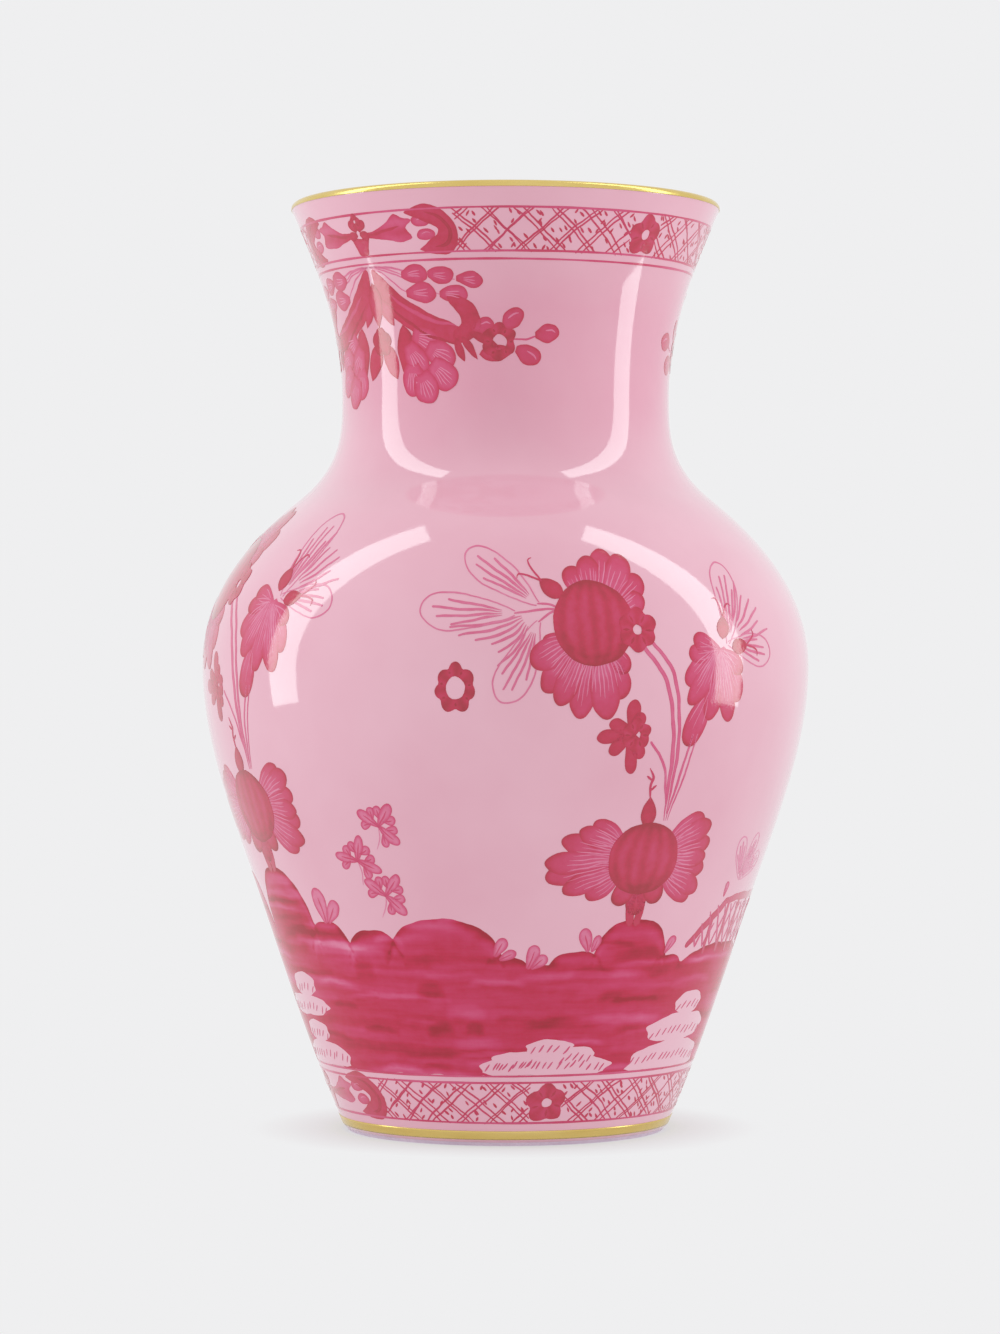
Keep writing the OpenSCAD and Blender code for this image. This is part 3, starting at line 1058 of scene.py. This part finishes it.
def garland(spot):
    """A garland hung from one point, the same on either hand, with a drop in the middle."""
    for flip in (False, True):
        swag(spot.at(0, 0, flip=flip))
    spot.at(0, -5.5, 180).patch(leaf(14, 5.6), 3, 0.82, rim=0.1)
    for side in (-1, 1):
        spot.at(side * 2.2, -11, side * 152).patch(leaf(9, 4.2), 2, 0.76, rim=0.12)
        spot.at(side * 1.5, -24, side * 160).patch(leaf(13, 6), 2, 0.78, rim=0.12)
    spot.at(0, -24).patch(lobes(4.6, 5), 4, 0.86, rim=0.08)


# ---- making it all

def make_vase():
    gold = gold_material()
    lining = lining_material()
    bare = 1.2
    rows = 190
    outer = [outside(bare, LIP_Z, 0, rows), lip_arc(0, CROWN, LIP_R)[1:]]
    back = [lip_arc(CROWN, 0, LIP_R - GLAZE), outside(bare, LIP_Z, GLAZE, rows)[::-1][1:]]
    turned("glaze_coat", np.vstack(outer + back), glaze_material(), "outer_glaze")

    def inner(depth):
        z = np.linspace(LIP_Z, BOWL_TOP, 120)
        down = skin(z, wall(z) - depth)
        a = down[-1]
        pull = BOWL_REACH / 2
        b = np.array([a[0] - BOWL_REACH, FLOOR_TOP - depth])
        a1 = a - pull * np.array([float(slope(BOWL_TOP)), 1])
        b1 = b + (pull, 0)
        t = np.linspace(0, 1, 24)[1:, None]
        bowl = (1 - t) ** 3 * a + 3 * (1 - t) ** 2 * t * a1 + 3 * (1 - t) * t**2 * b1 + t**3 * b
        floor = pairs(np.linspace(b[0], 0.4, 10)[1:], np.full(9, b[1]))
        return np.vstack([down, bowl, floor])

    face = [lip_arc(CROWN, pi, LIP_R)[:-1], inner(0)]
    under = [inner(GLAZE)[::-1], lip_arc(pi, CROWN, LIP_R - GLAZE)[1:]]
    turned("lining_coat", np.vstack(face + under), lining, "inner_glaze")

    gold_from = 0.15
    face = lip_arc(gold_from, pi, LIP_R + 0.02)
    film = lip_arc(pi, gold_from, LIP_R + FILM)
    turned("lip_gold", np.vstack([film, face]), gold, "lip_gilding")

    band_low, band_high = 2.1, 4.9
    out = outside(band_low, band_high, -FILM, 6)
    band = np.vstack([out, outside(band_low, band_high, 0.02, 6)[::-1]])
    turned("foot_gold", band, gold, "foot_gilding")

    for node, material in (("porcelain_body", bisque_with_painted_sheen_material()), ("recess_glaze", lining)):
        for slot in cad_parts[node].material_slots:
            slot.material = material


def make_painting():
    rng = random.Random(8)
    fine = enamel_material("crimson_enamel", (120, 120, 120), 500, 0.28, 0.7)
    washed = enamel_material("crimson_ground", (24, 24, 250), 260, 0.46, 0.1)

    neck = Border(278.9, 291.9, -46, 43, NECK_AGAIN)
    foot = Border(7.6, 20.6, -77, 12.5, FOOT_AGAIN)
    for title, border, third in (("neck", neck, neck.low - 2.2), ("foot", foot, foot.high + 2.2)):
        lines, trellis, scrolls = (Enamel(title + kind, fine)
                                   for kind in ("_lines", "_trellis", "_cartouches"))
        for z in (border.low, border.high, third):
            lines.ring(z, rng)
        lines.finish(title + "_border_lines")
        border.draw(trellis, scrolls, rng)
        trellis.finish()
        scrolls.finish()

    swags = Enamel("neck_garlands", fine)
    for half in (0, NECK_AGAIN):
        garland(Spot(swags, -46 + half, 276.4, 1))
    swags.finish()

    ground = Enamel("garden_ground", washed)
    garden(ground, rng)
    ground.finish()
    shading = Enamel("cloud_hatching", fine)
    for cloud in CLOUDS:
        hatch(shading, cloud, rng)
    shading.finish()

    paints = {kind: Enamel("garden_" + kind, fine) for kind in ("stems", "blooms", "bells", "fruits")}
    for half in (0, GARDEN_AGAIN):
        plant(paints, 30 + half, 91)
        plant(paints, -62 + half, 106)
    for paint in paints.values():
        paint.finish()

    growth = Enamel("garden_growth", fine)
    for half, gate in ((0, 86), (GARDEN_AGAIN, 71)):
        for theta, z, turn in ((-26, 101, 20), (-32.5, 90, 0), (-27, 79.5, 24)):
            sprig(Spot(growth, theta + half, z, 1, turn, 0.92))
        for theta, z, turn, size in (
                (-46, 70, -6, 1.4), (-45, 70, 38, 1.1), (-2.5, 61, 28, 0.8), (-1.5, 60, 62, 0.7),
                (5, 57, 22, 1), (6, 57, 52, 0.8), (19.5, 62, -14, 1), (20.5, 62, 26, 0.7),
                (41.5, 61, 30, 0.75), (58.6, 77.5, 5, 0.6)):
            leaflet(Spot(growth, theta + half, z, 2, turn, size), 8, 4.4)
        fence(growth, 48.5 + half, gate + half)
        for turn in (-30, 20, 62):
            plume(Spot(growth, 64 + half, 83, 1, turn), 15, 6, tone=0.22)
    growth.finish()


# A softbox's lower and upper edge, as distance from the vase's axis and height, and its width, in metres.
SOFTBOX_FOOT = (0.67, 0.035)
SOFTBOX_TOP = (0.35, 1.16)
SOFTBOX_WIDTH = 0.155
SOFTBOX_GLOW = 9.5   # power for each square metre


def make_stage():
    """A pale floor under an even pale sky, and a tall narrow softbox on either hand."""
    bpy.context.scene.view_settings.view_transform = "Standard"
    half = 6
    corners = [(-half, -half, 0), (half, -half, 0), (half, half, 0), (-half, half, 0)]
    mesh = bpy.data.meshes.new("floor")
    mesh.from_pydata(corners, [], [(0, 1, 2, 3)])
    mesh.materials.append(floor_material())
    scene_object("floor", mesh)

    world = bpy.data.worlds.new("studio")
    world.use_nodes = True
    sky = world.node_tree.nodes["Background"]
    sky.inputs["Color"].default_value = STUDIO
    sky.inputs["Strength"].default_value = 1.0
    bpy.context.scene.world = world

    for side in (-1, 1):
        light = bpy.data.lights.new("softbox", "AREA")
        light.shape = "RECTANGLE"
        light.size = SOFTBOX_WIDTH
        light.size_y = hypot(SOFTBOX_TOP[0] - SOFTBOX_FOOT[0], SOFTBOX_TOP[1] - SOFTBOX_FOOT[1])
        light.energy = SOFTBOX_GLOW * light.size * light.size_y
        light.color = (0.8, 1, 0.96)
        box = scene_object("softbox", light)
        middle = [(a + b) / 2 for a, b in zip(SOFTBOX_FOOT, SOFTBOX_TOP)]
        lean = atan2(SOFTBOX_FOOT[0] - SOFTBOX_TOP[0], SOFTBOX_TOP[1] - SOFTBOX_FOOT[1])
        box.location = (side * middle[0], -0.05, middle[1])
        box.rotation_euler = (pi / 2 - lean, 0, side * pi / 2)


def make_camera():
    camera = bpy.data.cameras.new("camera")
    camera.lens = 105.5
    camera.sensor_width = 36
    eye = scene_object("camera", camera)
    eye.location = (-0.0018, -1.274, 0.1498)
    eye.rotation_euler = (pi / 2, 0, 0)
    bpy.context.scene.camera = eye


make_camera()
make_stage()
make_vase()
make_painting()
